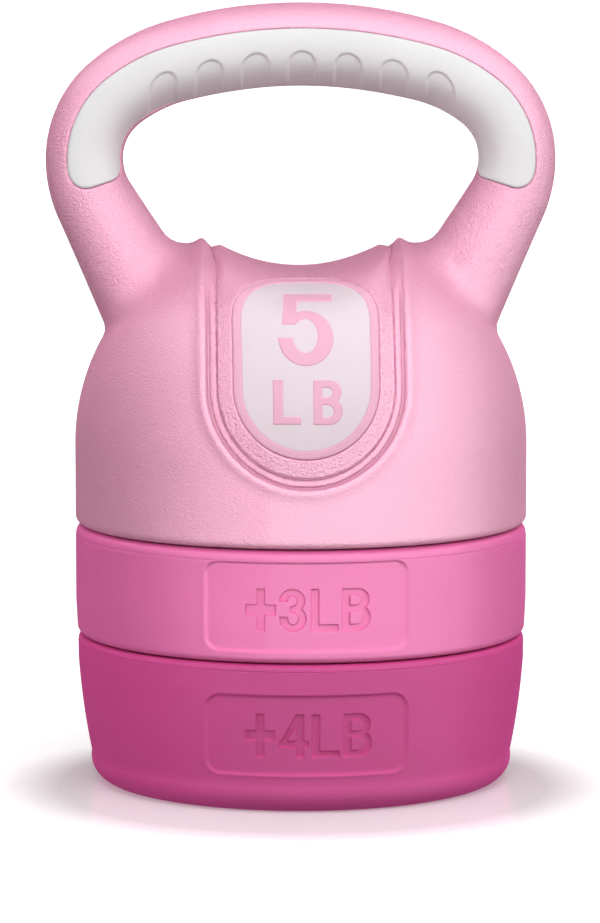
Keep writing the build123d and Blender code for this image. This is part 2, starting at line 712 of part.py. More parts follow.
with BuildPart() as body_cap:
    with BuildSketch(Plane.XY.offset(BODY_BOTTOM)):
        Circle(CAP_RADIUS)
    extrude(amount=CAP_THICKNESS)
    add(socket_shell(BODY_BOTTOM))
    add(socket_hollow(BODY_BOTTOM), mode=Mode.SUBTRACT)
    add(socket_ridges(BODY_BOTTOM))
    add(ring_groove(BODY_BOTTOM), mode=Mode.SUBTRACT)
    with BuildSketch(Plane.XY.offset(BODY_BOTTOM)):
        with PolarLocations(SCREW_CIRCLE, SCREW_COUNT):
            Circle(SCREW_HEAD_RADIUS + SCREW_HOLE_CLEARANCE)
    extrude(amount=SCREW_HEAD_HEIGHT, mode=Mode.SUBTRACT)
    with BuildSketch(Plane.XY.offset(BODY_BOTTOM)):
        with PolarLocations(SCREW_CIRCLE, SCREW_COUNT):
            Circle(SCREW_RADIUS + SCREW_HOLE_CLEARANCE)
    extrude(amount=CAP_THICKNESS, mode=Mode.SUBTRACT)
save(body_cap.part, "body_cap")

with BuildPart() as cap_screws:
    with BuildSketch(Plane.XY.offset(BODY_BOTTOM)):
        with PolarLocations(SCREW_CIRCLE, SCREW_COUNT):
            Circle(SCREW_HEAD_RADIUS)
    extrude(amount=SCREW_HEAD_HEIGHT)
    with BuildSketch(Plane.XY.offset(BODY_BOTTOM)):
        with PolarLocations(SCREW_CIRCLE, SCREW_COUNT):
            Circle(SCREW_RADIUS)
    extrude(amount=SCREW_LENGTH)
save(cap_screws.part, "cap_screws")

with BuildPart() as body_fill:
    add(body_cavity.part)
    with BuildSketch(Plane.XY.offset(BODY_BOTTOM)):
        Circle(PLATE_RADIUS * 2)
    extrude(amount=BODY_FILL_LOW - BODY_BOTTOM, mode=Mode.SUBTRACT)
save(body_fill.part, "body_fill")
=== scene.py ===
"""The looks of the stackable kettlebell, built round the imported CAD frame.

Shapes are worked out in millimetres in the part's own frame, +Z up with the front facing -Y, and turned
into metres when a mesh is made. Each moulded surface starts as a plain triangle mesh. Edges are run along
the outlines of its grooves, panels and figures, and then the points sink or rise by the height there.
"""

from math import cos, pi, radians, sin, tan

import bpy
import numpy as np
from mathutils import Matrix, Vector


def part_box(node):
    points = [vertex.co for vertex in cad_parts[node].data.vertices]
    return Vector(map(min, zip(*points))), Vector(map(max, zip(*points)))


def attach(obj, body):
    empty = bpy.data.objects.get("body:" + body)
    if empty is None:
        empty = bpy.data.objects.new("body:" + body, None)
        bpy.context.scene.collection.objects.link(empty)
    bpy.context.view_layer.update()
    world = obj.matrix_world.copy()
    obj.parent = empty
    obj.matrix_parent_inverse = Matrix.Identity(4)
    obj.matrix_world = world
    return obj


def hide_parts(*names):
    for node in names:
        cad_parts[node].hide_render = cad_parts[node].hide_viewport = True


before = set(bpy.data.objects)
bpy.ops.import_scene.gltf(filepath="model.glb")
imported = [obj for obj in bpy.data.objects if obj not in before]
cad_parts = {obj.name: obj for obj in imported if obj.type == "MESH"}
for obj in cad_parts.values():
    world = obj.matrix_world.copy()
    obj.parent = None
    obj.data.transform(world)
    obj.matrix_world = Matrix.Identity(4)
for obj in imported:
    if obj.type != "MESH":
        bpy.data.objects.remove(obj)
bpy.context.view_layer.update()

SCENE = bpy.context.scene
MM = 0.001


def low(node):
    """A CAD node's lowest corner, in mm."""
    return np.array(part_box(node)[0]) / MM


def high(node):
    """A CAD node's highest corner, in mm."""
    return np.array(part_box(node)[1]) / MM


# ---- Driving dimensions, in mm ----
BODY_LOW = low("body_shell")[2]
CROWN = high("body_shell")[2]
HALF_WIDTH = high("body_shell")[0]
PLATE_RADIUS = high("mid_plate_cup")[0]
CAP_RADIUS = high("body_cap")[0]
WALL = 3.0
CAP_TOP = BODY_LOW + WALL
MID_LOW = low("mid_plate_cup")[2]
MID_RIM = high("mid_plate_cup")[2]
BASE_RADIUS = high("base_plate_cup")[0]
BASE_RIM = high("base_plate_cup")[2]

DOME_SPRING = BODY_LOW + 28.0
DOME_RISE = 78.0
SADDLE_RADIUS = 52.0
SADDLE_CENTRE = BODY_LOW + 141.4
SADDLE_HALF_WIDTH = 31.0
SADDLE_ROUNDING = 17.0  # at the middle, easing to SADDLE_EDGE_ROUNDING beside the grooves
SADDLE_EDGE_ROUNDING = 3.0
HANDLE_FLOOR = BODY_LOW + 105.0  # the dome's features lie below this height, the grip's above it

# The handle's centre line: arcs (radius, degrees) from the crown down one side, then a straight run.
GRIP_RADIUS = 14.6
SIDE_GRIP_RADIUS = 13.4
HANDLE_ARCS = ((166.0, 15.3), (58.4, 23.8), (29.9, 50.9), (33.2, 28.4))
HORN_RUN = 65.0
HORN_FLARE = tan(radians(5.6))
# Arc lengths from the crown: where the grip starts to slim, its widest point, and where the horn flares.
SLIM_LENGTH = 20.0
SIDE_LENGTH = 95.3
FLARE_LENGTH = 106.0
FLARE_EASE = 10.0
# The fillet between horn and dome is wide on the horn's inner side and tight on its outer side.
FILLET_X = (40.0, 69.0)
FILLET_WIDTH = (15.0, 2.5)


# ---- Fields: distances that the shapes are built from ----
def soft_min(a, b, blend):
    """The smaller of two distances, rounded where they meet."""
    near = np.maximum(blend - np.abs(a - b), 0) / blend
    return np.minimum(a, b) - near * near * blend / 4


def soft_step(value, start, end):
    """0 before start, 1 after end, and a smooth rise between."""
    share = np.clip((value - start) / (end - start), 0, 1)
    return share * share * (3 - 2 * share)


def rounded_box(u, v, half_u, half_v, corner):
    """Signed distance to a rounded rectangle round the origin."""
    out_u = np.abs(u) - (half_u - corner)
    out_v = np.abs(v) - (half_v - corner)
    outside = np.hypot(np.maximum(out_u, 0), np.maximum(out_v, 0))
    return outside + np.minimum(np.maximum(out_u, out_v), 0) - corner


def handle_place(x, z):
    """Where a point seen from the front lies beside the handle's centre line.

    Gives its distance from the line, the same distance with a sign (plus on the outer side), and the arc
    length from the crown to the nearest point of the line.
    """
    x = np.abs(x)
    point = np.array([0.0, CROWN - GRIP_RADIUS])
    heading = 0.0
    length = 0.0
    nearest = np.full(np.broadcast(x, z).shape, np.inf)
    offset = np.zeros_like(nearest)
    along = np.zeros_like(nearest)
    for radius, degrees in HANDLE_ARCS:
        centre = point - radius * np.array([sin(heading), cos(heading)])
        turn = radians(degrees)
        side_x = x - centre[0]
        side_z = z - centre[1]
        angle = np.clip(np.arctan2(side_x, side_z), heading, heading + turn)
        gap = np.hypot(side_x - radius * np.sin(angle), side_z - radius * np.cos(angle))
        closer = gap < nearest
        nearest = np.where(closer, gap, nearest)
        offset = np.where(closer, np.hypot(side_x, side_z) - radius, offset)
        along = np.where(closer, length + radius * (angle - heading), along)
        heading += turn
        length += radius * turn
        point = centre + radius * np.array([sin(heading), cos(heading)])
    side_x = x - point[0]
    side_z = z - point[1]
    run = np.clip(side_x * cos(heading) - side_z * sin(heading), 0, HORN_RUN)
    gap = np.hypot(side_x - run * cos(heading), side_z + run * sin(heading))
    closer = gap < nearest
    nearest = np.where(closer, gap, nearest)
    offset = np.where(closer, side_x * sin(heading) + side_z * cos(heading), offset)
    along = np.where(closer, length + run, along)
    return nearest, offset, along


def handle_radius(along):
    """The handle's radius at an arc length from the crown: slimmer at the sides, wider down the horn."""
    grip = GRIP_RADIUS - (GRIP_RADIUS - SIDE_GRIP_RADIUS) * soft_step(along, SLIM_LENGTH, SIDE_LENGTH)
    past = along - FLARE_LENGTH
    return grip + HORN_FLARE * (past + np.hypot(past, FLARE_EASE)) / 2


def body_field(x, y, z):
    """Signed distance to the body's plain surface: a dome with a saddle, joined to the handle's horns."""
    across = np.hypot(x, y)
    up = np.maximum(z - DOME_SPRING, 0)
    level = np.maximum(np.hypot(across / PLATE_RADIUS, up / DOME_RISE), 0.1)
    slope = np.hypot(across / PLATE_RADIUS**2, up / DOME_RISE**2) / level
    dome = (level - 1) / np.maximum(slope, 0.001)
    trough = SADDLE_RADIUS - np.hypot(x, z - SADDLE_CENTRE)
    middle = np.clip(1 - (x / SADDLE_HALF_WIDTH) ** 2, 0, 1)
    rounding = SADDLE_EDGE_ROUNDING + (SADDLE_ROUNDING - SADDLE_EDGE_ROUNDING) * middle
    dome = -soft_min(-dome, -trough, rounding)
    nearest, offset, along = handle_place(x, z)
    handle = np.hypot(nearest, y) - handle_radius(along)
    return soft_min(dome, handle, np.interp(np.abs(x), FILLET_X, FILLET_WIDTH))


# ---- Triangle meshes as (points, faces) arrays ----
def gradient(field, points):
    """How a field grows along x, y and z at each point."""
    step = 0.04
    sides = []
    for axis in range(3):
        shift = np.zeros(3)
        shift[axis] = step
        ahead = field(*(points + shift).T)
        behind = field(*(points - shift).T)
        sides.append((ahead - behind) / (2 * step))
    return np.stack(sides, axis=1)


def settle(field, points, rounds=3):
    """Points moved on to the surface where a field is zero."""
    for _ in range(rounds):
        slope = gradient(field, points)
        size = np.maximum((slope**2).sum(1), 0.05)
        points = points - slope * (field(*points.T) / size)[:, None]
    return points


def edges_of(faces):
    """Each edge once, and for every face the numbers of its three edges, from each corner to the next."""
    pairs = np.sort(faces[:, [0, 1, 1, 2, 2, 0]].reshape(-1, 2), axis=1)
    edges, which = np.unique(pairs, axis=0, return_inverse=True)
    return edges, which.reshape(-1, 3)


def border_points(faces):
    """The points on a mesh's open edges."""
    edges, which = edges_of(faces)
    uses = np.bincount(which.ravel(), minlength=len(edges))
    return np.unique(edges[uses == 1])


def split(points, faces, edges, which, marked, share):
    """A mesh with a new point on each marked edge, a share of the way along it, and its faces divided."""
    first = points[edges[marked, 0]]
    fresh = first + (points[edges[marked, 1]] - first) * share[:, None]
    number = np.full(len(edges), -1)
    number[marked] = len(points) + np.arange(marked.sum())
    points = np.vstack([points, fresh])
    middle = number[which]
    count = (middle >= 0).sum(1)
    parts = [faces[count == 0]]

    def turned(chosen, start):
        """The chosen faces and their new points, each turned to begin at its own corner."""
        order = (start[:, None] + np.arange(3)) % 3
        return np.take_along_axis(faces[chosen], order, 1).T, np.take_along_axis(middle[chosen], order, 1).T

    one = count == 1
    (a, b, c), (m, _, _) = turned(one, np.argmax(middle[one] >= 0, 1))
    parts += [np.stack([a, m, c], 1), np.stack([m, b, c], 1)]
    two = count == 2
    (a, b, c), (m, n, _) = turned(two, (np.argmin(middle[two] >= 0, 1) + 1) % 3)
    parts.append(np.stack([m, b, n], 1))
    short = ((points[a] - points[n]) ** 2).sum(1) < ((points[m] - points[c]) ** 2).sum(1)
    parts.append(np.where(short[:, None], np.stack([a, m, n], 1), np.stack([a, m, c], 1)))
    parts.append(np.where(short[:, None], np.stack([a, n, c], 1), np.stack([m, n, c], 1)))
    three = count == 3
    a, b, c = faces[three].T
    m, n, o = middle[three].T
    parts += [np.stack(corners, 1) for corners in ((a, m, o), (m, b, n), (o, n, c), (m, n, o))]
    return points, np.vstack(parts)


def refine(points, faces, fineness, project):
    """Divide edges until none is much longer than the fineness wanted at its middle."""
    for _ in range(4):
        edges, which = edges_of(faces)
        ends = points[edges[:, 1]] - points[edges[:, 0]]
        middle = (points[edges[:, 1]] + points[edges[:, 0]]) / 2
        marked = np.linalg.norm(ends, axis=1) > 1.4 * fineness(*middle.T)
        if not marked.any():
            break
        points, faces = split(points, faces, edges, which, marked, np.full(marked.sum(), 0.5))
        points = project(points)
    return points, faces


def relax(points, faces, project, rounds):
    """Even out the triangles without leaving the surface; points on open borders stay."""
    edges, _ = edges_of(faces)
    border = border_points(faces)
    a, b = edges.T
    for _ in range(rounds):
        total = np.zeros_like(points)
        np.add.at(total, a, points[b])
        np.add.at(total, b, points[a])
        degree = np.bincount(edges.ravel(), minlength=len(points))
        moved = points + 0.6 * (total / np.maximum(degree, 1)[:, None] - points)
        moved[border] = points[border]
        points = project(moved)
    return points


def unit_normals(field, points):
    """The outward direction of a field's surface at each point."""
    slope = gradient(field, points)
    return slope / np.maximum(np.linalg.norm(slope, axis=1), 1e-6)[:, None]


def cut(points, faces, outline, levels, field, reach):
    """Run edges along the lines where an outline's distance takes each of these values."""
    for level in levels:
        value = outline(*points.T) - level
        close = np.flatnonzero(np.abs(value) < reach)
        slope = gradient(outline, points[close])
        up = unit_normals(field, points[close])
        slope -= up * (slope * up).sum(1)[:, None]
        size = (slope**2).sum(1)
        near = np.abs(value[close]) < reach * np.sqrt(size)
        close, slope, size = close[near], slope[near], size[near]
        points[close] = settle(field, points[close] - slope * (value[close] / size)[:, None], 1)
        value[close] = 0
        edges, which = edges_of(faces)
        start, end = value[edges[:, 0]], value[edges[:, 1]]
        marked = start * end < 0
        share = start[marked] / (start[marked] - end[marked])
        old = len(points)
        points, faces = split(points, faces, edges, which, marked, share)
        points[old:] = settle(field, points[old:], 1)
    return points, faces


def keep(points, faces, chosen):
    """The chosen faces, with only the points that they use."""
    faces = faces[chosen]
    used, faces = np.unique(faces, return_inverse=True)
    return points[used], faces.reshape(-1, 3)


def net(field, low_corner, high_corner, step):
    """A closed mesh near a field's zero surface: one point to each grid cell that it crosses."""
    axes = [np.arange(a, b + step, step) for a, b in zip(low_corner, high_corner)]
    solid = field(*np.ix_(*axes)) < 0
    cells = [n - 1 for n in solid.shape]
    filled = np.zeros(cells, int)
    for corner in np.ndindex(2, 2, 2):
        filled += solid[tuple(slice(c, c + n) for c, n in zip(corner, cells))]
    mixed = (filled > 0) & (filled < 8)
    number = np.full(cells, -1)
    number[mixed] = np.arange(mixed.sum())
    middle = [(axis[:-1] + axis[1:]) / 2 for axis in axes]
    points = np.stack([m[i] for m, i in zip(middle, np.nonzero(mixed))], 1)
    faces = []
    for axis in range(3):
        one, two = (axis + 1) % 3, (axis + 2) % 3
        size = solid.shape[axis]
        change = np.take(solid, range(1, size), axis) != np.take(solid, range(size - 1), axis)
        crossing = np.array(np.nonzero(change))
        inner = (crossing[one] > 0) & (crossing[one] < cells[one])
        inner &= (crossing[two] > 0) & (crossing[two] < cells[two])
        crossing = crossing[:, inner]
        leaving = solid[tuple(crossing)]
        ring = []
        for step_one, step_two in ((-1, -1), (0, -1), (0, 0), (-1, 0)):
            cell = crossing.copy()
            cell[one] += step_one
            cell[two] += step_two
            ring.append(number[tuple(cell)])
        a, b, c, d = ring
        b, d = np.where(leaving, b, d), np.where(leaving, d, b)
        faces += [np.stack([a, b, c], 1), np.stack([a, c, d], 1)]
    return points, np.vstack(faces)


def border_loop(points, faces, height):
    """The points of an open edge at one height, in order round the axis."""
    border = border_points(faces)
    border = border[np.abs(points[border, 2] - height) < 0.2]
    return border[np.argsort(np.arctan2(points[border, 1], points[border, 0]))]


def lathe_on(points, faces, level, profile, upwards):
    """Close a mesh from its open edge at a level with rings of (radius, height), ending on the axis.

    upwards says that this is the mesh's upper edge, so that the new faces wind the other way.
    """
    loop = border_loop(points, faces, level)
    angle = np.arctan2(points[loop, 1], points[loop, 0])
    for radius, height in profile:
        if radius == 0:
            points = np.vstack([points, [[0, 0, height]]])
            ring = np.full(len(loop), len(points) - 1)
        else:
            fresh = np.stack([radius * np.cos(angle), radius * np.sin(angle), np.full(len(loop), height)], 1)
            ring = len(points) + np.arange(len(loop))
            points = np.vstack([points, fresh])
        a, b = loop, np.roll(loop, -1)
        c, d = np.roll(ring, -1), ring
        quads = [np.stack([a, d, b], 1), np.stack([b, d, c], 1)]
        if radius == 0:
            quads = quads[:1]
        if upwards:
            quads = [q[:, ::-1] for q in quads]
        faces = np.vstack([faces] + quads)
        loop = ring
    return points, faces


def slab(points, faces, normals, top, bottom):
    """A closed piece cut from a surface, between two heights above it."""
    edges, which = edges_of(faces)
    uses = np.bincount(which.ravel(), minlength=len(edges))
    sides = np.concatenate([faces[:, [0, 1]], faces[:, [1, 2]], faces[:, [2, 0]]])
    sides = sides[uses[which.T.ravel()] == 1]
    a, b = sides.T
    count = len(points)
    upper = points + normals * top[:, None]
    lower = points + normals * bottom
    walls = np.vstack([np.stack([a, a + count, b], 1), np.stack([b, a + count, b + count], 1)])
    return np.vstack([upper, lower]), np.vstack([faces, faces[:, ::-1] + count, walls])


# ---- Outlines on the body ----
GROOVE_CENTRE = BODY_LOW + 54.5
# The U's section: distance from its centre line, the surface's height there, and its height over the saddle.
# The groove has a crevice at the foot of each wall and a bead on its outer side. Over the saddle it is an
# open V beside a broad ridge.
GROOVE_SECTION = (
    (28.3, 0, 0),
    (29.9, 0, -1.2),
    (30.25, -0.5, -1.55),
    (30.55, -2.2, -1.9),
    (30.85, -2.1, -2.4),
    (31.3, -1.3, -2.2),
    (33.1, -1.3, -0.5),
    (33.45, -1.9, 0.0),
    (33.75, -2.2, 0.45),
    (34.05, -0.9, 0.9),
    (34.5, 0.3, 1.35),
    (35.6, 0.68, 1.35),
    (36.6, 0.5, 1.0),
    (37.9, 0.18, 0.45),
    (39.6, 0, 0),
)
GROOVE_LINES, GROOVE_HEIGHTS, SADDLE_HEIGHTS = zip(*GROOVE_SECTION)
SADDLE_FROM = BODY_LOW + 78.0  # between these heights one section turns into the other
SADDLE_FULL = BODY_LOW + 96.0

# The badge is laid out as an eye in front of it sees it, from this far and this high.
EYE_AWAY = 1600.0
EYE_HEIGHT = 299.6
BADGE_HALF_WIDTH = 26.2
BADGE_LOW = BODY_LOW + 21.2
BADGE_TOP = BODY_LOW + 86.15
BADGE_TOP_CORNER = 20.9
BADGE_LEAN_FROM = BODY_LOW + 71.1
BADGE_LEAN = 8400.0  # in mm3: the smaller, the more the badge's top leans back
BADGE_RIM = 3.2
BADGE_POCKET = 1.5
# Each figure: left edge, width, low edge, height, and the widths of its upright and level strokes.
FIGURES = {
    "5": (-9.95, 19.7, BODY_LOW + 55.1, 25.6, 4.7, 2.6),
    "L": (-12.1, 9.9, BODY_LOW + 34.1, 16.1, 3.6, 2.75),
    "B": (2.3, 10.5, BODY_LOW + 33.9, 16.1, 3.2, 2.65),
}

PAD_TOP_DEG = 24.5
PAD_BOTTOM_DEG = -85.0
PAD_TWIST_DEG = 19.0  # how much higher a pad's lower edge runs on its left side
PAD_HALF_LENGTH = 105.3
PAD_CORNER = 7.5
PAD_POCKET = 1.5
DIMPLE_COUNT = 7
DIMPLE_PITCH = 16.15
DIMPLE_RADIUS = 4.9
DIMPLE_DEPTH = 0.75
DIMPLE_SPAN = 60.0
DIMPLE_TOP = -2.0  # round the bar from its front, as is the stretch over which the dimples fade in
DIMPLE_FADE = (-20.0, -13.0)
FAR = 99.0  # a distance that stands for nowhere near


def seen(x, y, z):
    """Where a point of the front or rear face appears at the middle of the body: across and up."""
    nearer = EYE_AWAY / (EYE_AWAY - np.abs(y))
    return x * nearer, EYE_HEIGHT + (z - EYE_HEIGHT) * nearer


def reading(x, y):
    """X as a reader in front of that face sees it: the rear face is read from behind."""
    return np.where(y < 0, x, -x)


def groove_line(x, y, z):
    """Distance from the centre line of the U round the badge, as seen from the front."""
    return np.hypot(x, np.minimum(z - GROOVE_CENTRE, 0))


def badge_outline(x, y, z):
    """Signed distance to the badge's edge: a half round below and wide round corners above."""
    across, up = seen(x, y, z)

    def laid_back(height):
        """Height along the face, which leans back more and more towards its top."""
        return height + np.maximum(height - BADGE_LEAN_FROM, 0) ** 4 / BADGE_LEAN

    top = laid_back(BADGE_TOP)
    centre = BADGE_LOW + BADGE_HALF_WIDTH
    lower = np.hypot(across, np.minimum(up - centre, 0)) - BADGE_HALF_WIDTH
    half = (top - centre) / 2 + BADGE_HALF_WIDTH
    upper = rounded_box(across, laid_back(up) - top + half, BADGE_HALF_WIDTH, half, BADGE_TOP_CORNER)
    return np.maximum(lower, upper)


def box_at(u, v, left, bottom, right, top):
    """Signed distance to a plain rectangle."""
    middle_u, middle_v = (left + right) / 2, (bottom + top) / 2
    return rounded_box(u - middle_u, v - middle_v, (right - left) / 2, (top - bottom) / 2, 0)


def bulge_at(u, v, left, bottom, right, top):
    """Signed distance to a D: a rectangle that ends in a round side on the right."""
    corner = (top - bottom) / 2
    middle = v - (bottom + top) / 2
    return rounded_box(u - (left + right) / 2 + corner, middle, (right - left) / 2 + corner, corner, corner)


def ellipse_at(u, v, centre_u, centre_v, half_u, half_v):
    """Near enough the signed distance to an ellipse."""
    level = np.hypot((u - centre_u) / half_u, (v - centre_v) / half_v)
    return (level - 1) * min(half_u, half_v)


def beyond_line(u, v, start, end):
    """Distance to the right of the line from start to end."""
    run_u, run_v = end[0] - start[0], end[1] - start[1]
    return ((u - start[0]) * run_v - (v - start[1]) * run_u) / np.hypot(run_u, run_v)


def ring_at(u, v, outer, hole):
    """Signed distance to an oval ring. Each oval is its centre and half sizes."""
    return np.maximum(ellipse_at(u, v, *outer), -ellipse_at(u, v, *hole))


def figure_b(u, v, wide, high, post, beam):
    """A B: two lobes against an upright."""
    waist, upper_wide = 0.53 * high, 0.96 * wide
    lobes = np.minimum(
        bulge_at(u, v, 0, 0, wide, waist + beam / 2),
        bulge_at(u, v, 0, waist - beam / 2, upper_wide, high),
    )
    low_hole = bulge_at(u, v, post, beam, wide - post, waist - beam / 2)
    high_hole = bulge_at(u, v, post, waist + beam / 2, upper_wide - post, high - beam)
    holes = np.maximum(np.minimum(low_hole, high_hole), post - u)
    return np.maximum(np.maximum(lobes, -u), -holes)


def figure_3(u, v, wide, high, post, beam):
    """A 3: two rings that share a short middle bar, open on the left."""
    waist, upper_wide = 0.52 * high, 0.95 * wide
    rings = []
    for bottom, top, right in ((0, waist + beam / 2, wide), (waist - beam / 2, high, upper_wide)):
        middle, tall = (bottom + top) / 2, (top - bottom) / 2
        outer = (right / 2, middle, right / 2, tall)
        rings.append(ring_at(u, v, outer, (right / 2, middle, right / 2 - post, tall - beam)))
    gap = box_at(u, v, -1, 0.34 * high, 0.5 * wide, 0.71 * high)
    bar = box_at(u, v, 0.38 * wide, waist - beam / 2, 0.64 * wide, waist + beam / 2)
    return np.minimum(np.maximum(np.minimum(*rings), -gap), bar)


def figure_4(u, v, wide, high, post, beam):
    """A 4: an upright, a level bar and a slope with a three-sided hole."""
    right, bar_low = 0.84 * wide, 0.24 * high
    left, bar_high = right - post, bar_low + beam
    body = box_at(u, v, 0, bar_low, right, high)
    body = np.maximum(body, -beyond_line(u, v, (0, bar_low + 0.3 * beam), (left, high)))
    inner = beyond_line(u, v, (0.27 * wide, bar_high), (left, 0.74 * high))
    hole = np.maximum(np.maximum(-inner, u - left), bar_high - v)
    strokes = np.minimum(box_at(u, v, left, 0, right, high), box_at(u, v, 0, bar_low, wide, bar_high))
    return np.minimum(strokes, np.maximum(body, -hole))


def figure_5(u, v, wide, high, post, beam):
    """A 5: a bar, a slanting upright and an open bowl with blunt ends."""
    bar = box_at(u + 0.1 * (high - v), v, 0.12 * wide, high - beam, 0.99 * wide, high)
    slant = 0.14 * (v - 0.58 * high)
    upright = box_at(u - slant, v, 0.066 * wide, 0.58 * high, 0.066 * wide + post, high)
    outer = (wide / 2, 0.385 * high, wide / 2, 0.385 * high)
    bowl = ring_at(u, v, outer, (0.49 * wide, 0.42 * high, 0.228 * wide, 0.238 * high))
    gap = box_at(u, v, -1, 0.395 * high, 0.32 * wide, 0.58 * high)
    stray = box_at(u, v, -1, 0.57 * high, 0.2 * wide, 0.9 * high)
    bowl = np.maximum(np.maximum(bowl, -gap), -stray)
    return np.minimum(np.minimum(bar, upright), bowl)


def letter(character, u, v, wide, high, post, beam):
    """Signed distance to a plain figure. post and beam are the widths of its upright and level strokes."""
    if character == "+":
        across = box_at(u, v, 0, high / 2 - beam * 0.8, wide, high / 2 + beam * 0.8)
        return np.minimum(across, box_at(u, v, (wide - post) / 2, 0, (wide + post) / 2, high))
    if character == "L":
        return np.minimum(box_at(u, v, 0, 0, post, high), box_at(u, v, 0, 0, wide, beam))
    figures = {"B": figure_b, "3": figure_3, "4": figure_4, "5": figure_5}
    return figures[character](u, v, wide, high, post, beam)


def digit_outline(x, y, z):
    """Signed distance to the badge's raised figures."""
    across, up = seen(reading(x, y), y, z)
    nearest = np.full(np.shape(across), FAR)
    for character, (left, wide, bottom, high, post, beam) in FIGURES.items():
        nearest = np.minimum(nearest, letter(character, across - left, up - bottom, wide, high, post, beam))
    return nearest


def pad_place(x, y, z):
    """A point's place on the grip: arc length from the crown, and distance round the bar from its front."""
    _, offset, along = handle_place(x, z)
    radius = handle_radius(along)
    turn = np.arctan2(offset, np.abs(y))
    return np.where(x < 0, -along, along), turn * radius


def pad_outline(x, y, z):
    """Signed distance to the edge of the grip pads, alike on the front and the rear."""
    along, round_bar = pad_place(x, y, z)
    upper = radians(PAD_TOP_DEG) * GRIP_RADIUS
    lean = PAD_TWIST_DEG * soft_step(reading(-along, y), 20, 75)
    lower = np.radians(PAD_BOTTOM_DEG + lean) * GRIP_RADIUS
    half = (upper - lower) / 2
    return rounded_box(along, round_bar - (upper + lower) / 2, PAD_HALF_LENGTH, half, PAD_CORNER)


def dimple_outline(x, y, z):
    """Signed distance to the nearest of the dimples: an arch that runs out under the grip."""
    _, round_bar = pad_place(x, y, z)
    number = np.clip(np.round(x / DIMPLE_PITCH), -(DIMPLE_COUNT // 2), DIMPLE_COUNT // 2)
    arch_centre = DIMPLE_TOP - DIMPLE_RADIUS
    return np.hypot(x - number * DIMPLE_PITCH, np.maximum(round_bar - arch_centre, 0)) - DIMPLE_RADIUS


# ---- The body ----
def body_project(points):
    """Points moved on to the body's plain surface."""
    return settle(body_field, points, 2)


def body_fineness(x, y, z):
    """The edge length wanted at a place on the body: shorter round whatever stands out or sinks in."""
    size = np.full(np.shape(x), 2.1)
    dome = z < HANDLE_FLOOR
    groove = groove_line(x, y, z)
    badge = badge_outline(x, y, z)
    pad = pad_outline(x, y, z)
    size = np.where(dome & (groove > 29) & (groove < 40), 1.15, size)
    size = np.where(dome & (groove > 29.6) & (groove < 35.4), 0.8, size)
    size = np.where(dome & (badge < 2), 1.2, size)
    size = np.where(dome & (badge < 0) & (digit_outline(x, y, z) < 1.0), 0.62, size)
    size = np.where(~dome & (np.abs(pad) < 1.6), 1.0, size)
    return np.where(~dome & (pad < 0) & (np.abs(dimple_outline(x, y, z)) < 1.3), 0.75, size)


def only_where(condition, outline):
    """An outline that holds only where a condition does, and is far away elsewhere."""

    def held(x, y, z):
        return np.where(condition(x, y, z), outline(x, y, z), 50.0)

    return held


def on_dome(x, y, z):
    """Whether a point is on the dome."""
    return z < HANDLE_FLOOR


def on_grip(x, y, z):
    """Whether a point is on the handle's grip."""
    return z > HANDLE_FLOOR


SEAM = 4.0  # height above the body's foot where the lathe-turned underside takes over
foot_level = BODY_LOW + SEAM
dome_groove = only_where(on_dome, groove_line)
dome_badge = only_where(on_dome, badge_outline)
dome_digits = only_where(lambda x, y, z: dome_badge(x, y, z) < -BADGE_RIM, digit_outline)
grip_pad = only_where(on_grip, pad_outline)
grip_dimple = only_where(lambda x, y, z: (grip_pad(x, y, z) < 0) & (np.abs(x) < DIMPLE_SPAN), dimple_outline)

GRID_STEP = 3.0
grid_low = (-HALF_WIDTH - 6, -PLATE_RADIUS - 6, BODY_LOW - 7)
grid_high = (HALF_WIDTH + 6, PLATE_RADIUS + 6, CROWN + 6)
points, faces = net(body_field, grid_low, grid_high, GRID_STEP)
points = settle(body_field, points, 5)
points = relax(points, faces, body_project, 3)
points, faces = refine(points, faces, body_fineness, body_project)
points = relax(points, faces, body_project, 2)
# Edges run at these distances from each outline, so that walls and roundings come out crisp. The last number
# is how near a point has to be to move on to such a line.
BODY_LINES = (
    (dome_groove, GROOVE_LINES, 0.16),
    (dome_badge, (0.5, 0.16, -0.16, -0.5, 0.3 - BADGE_RIM, -BADGE_RIM, -0.3 - BADGE_RIM), 0.16),
    (grip_pad, (0.5, 0.16, -0.16, -0.5, -1.0), 0.16),
    (dome_digits, (0.2, 0.0, -0.25), 0.08),
    (grip_dimple, (0.35, 0.0, -0.35, -0.8), 0.1),
    (lambda x, y, z: z - foot_level, (0.0,), 0.5),
)
for outline, levels, reach in BODY_LINES:
    points, faces = cut(points, faces, outline, levels, body_field, reach)
points, faces = keep(points, faces, points[faces].mean(1)[:, 2] > foot_level)
points[points[:, 2] < foot_level + 0.05, 2] = foot_level
normals = unit_normals(body_field, points)


# ---- Pieces ----
def make(name, body, material, points, faces, replaced, grain=None):
    """Make a Blender piece from a mesh in mm. grain is how strongly its texture shows at each point."""
    mesh = bpy.data.meshes.new(name)
    mesh.from_pydata((points * MM).tolist(), [], faces.tolist())
    mesh.shade_smooth()
    if grain is not None:
        mesh.attributes.new("grain", "FLOAT", "POINT").data.foreach_set("value", grain)
    piece = bpy.data.objects.new(name, mesh)
    SCENE.collection.objects.link(piece)
    piece.data.materials.append(material)
    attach(piece, body)
    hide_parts(replaced)


# ---- Materials ----
CLOUD_SCALE = 22.0  # cycles to the metre
GLOSS_SPREAD = 0.06


